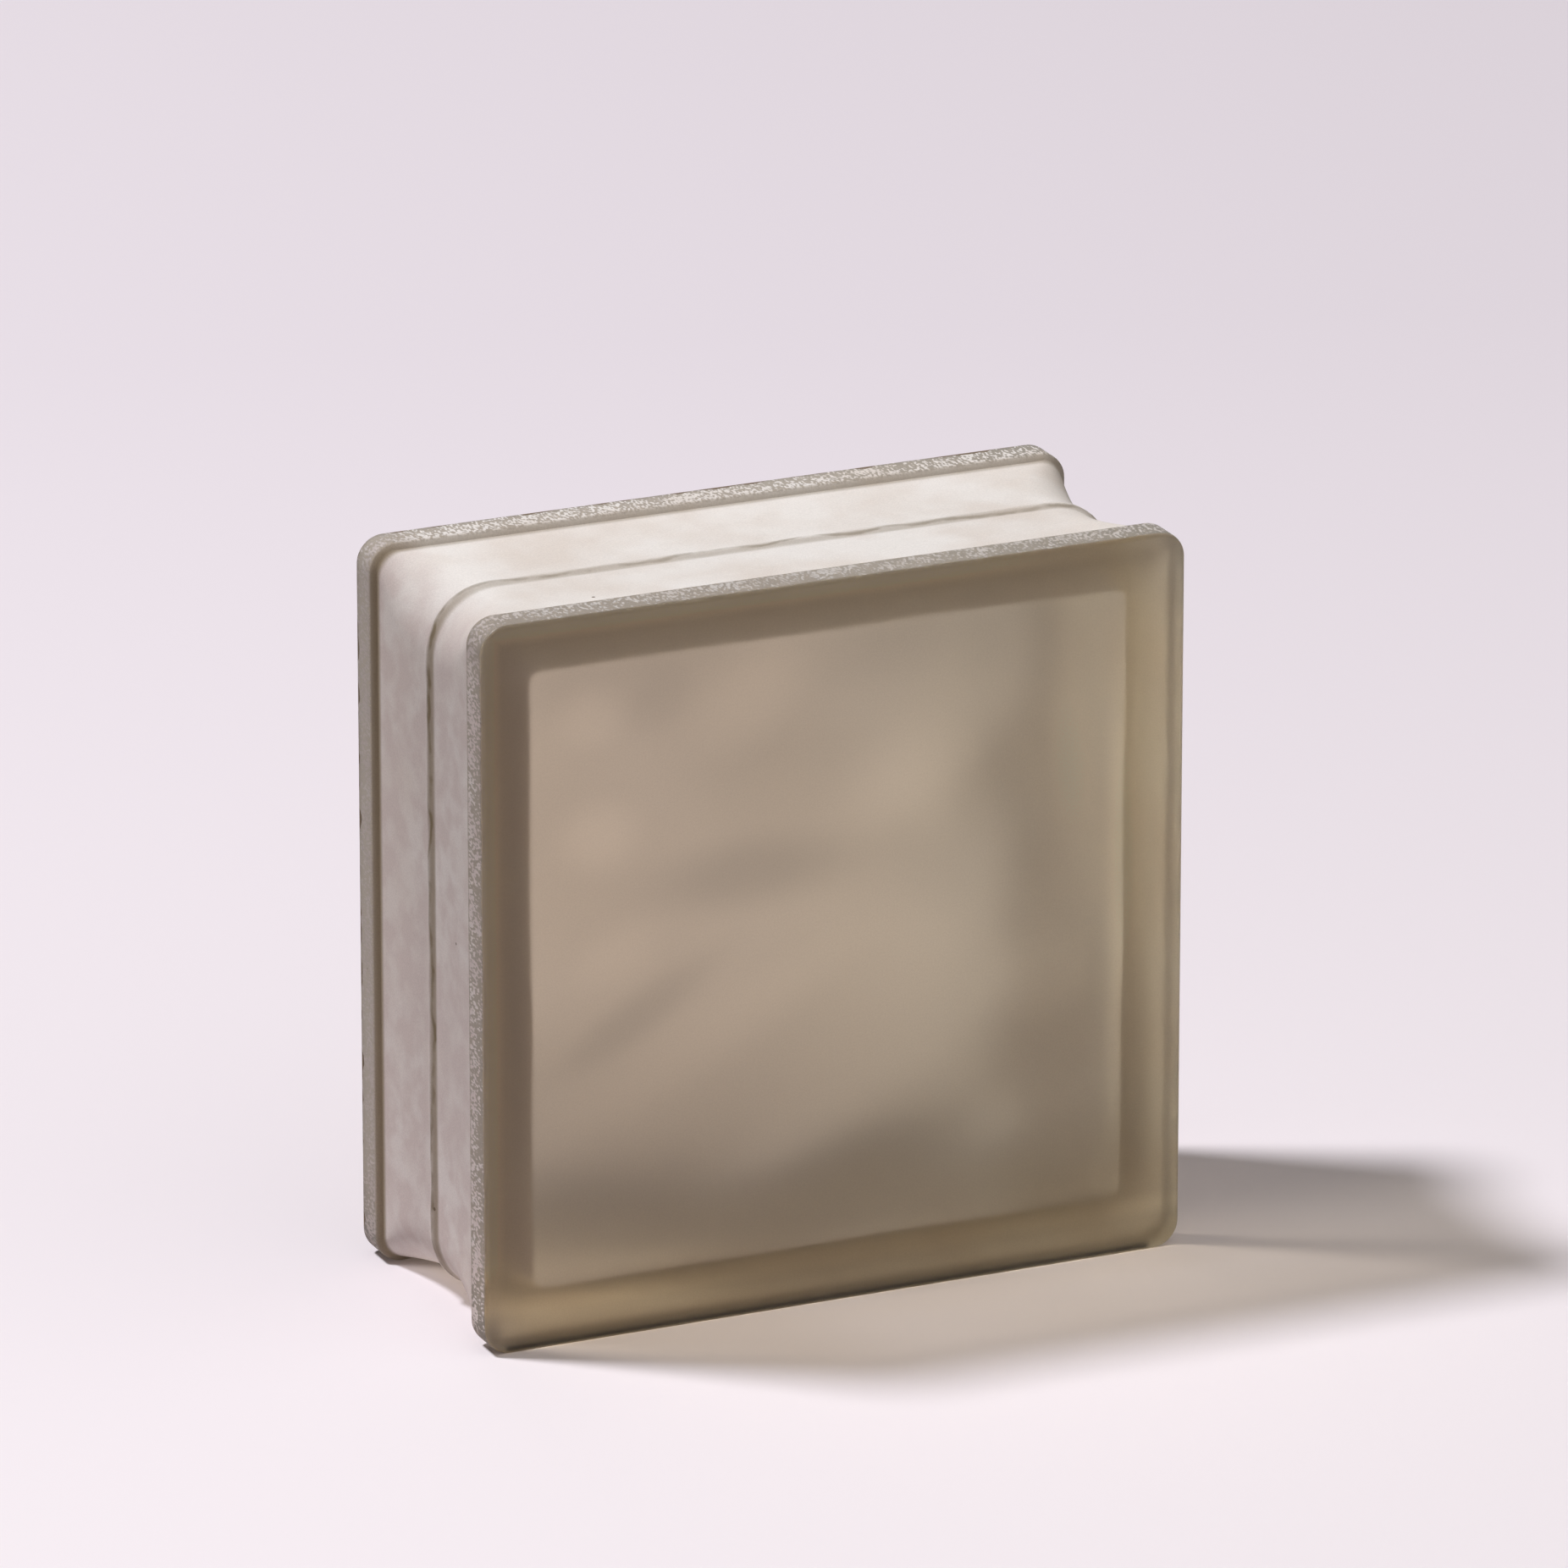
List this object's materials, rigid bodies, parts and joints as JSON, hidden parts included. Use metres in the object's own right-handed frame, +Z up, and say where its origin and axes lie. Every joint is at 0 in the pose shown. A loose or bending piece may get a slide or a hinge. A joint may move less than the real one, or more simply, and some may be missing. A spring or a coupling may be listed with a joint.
{
  "type": "glass block",
  "caption": "Square hollow glass block with satin bronze faces, soft inner waves, a recessed mortar key around its edges and a pale key coating.",
  "frame": {"origin": "middle of the edge that the block stands on, half-way through its depth, at floor level", "axes": "+X along the block's width, +Y through its depth from the front face to the rear face, +Z up"},
  "size_m": [0.19, 0.08, 0.19],
  "materials": {
    "satin_bronze_glass": "satin etched faces, pale coating on the edges"
  },
  "bodies": {
    "root": {"glass_block": "satin_bronze_glass"}
  },
  "joints": []
}
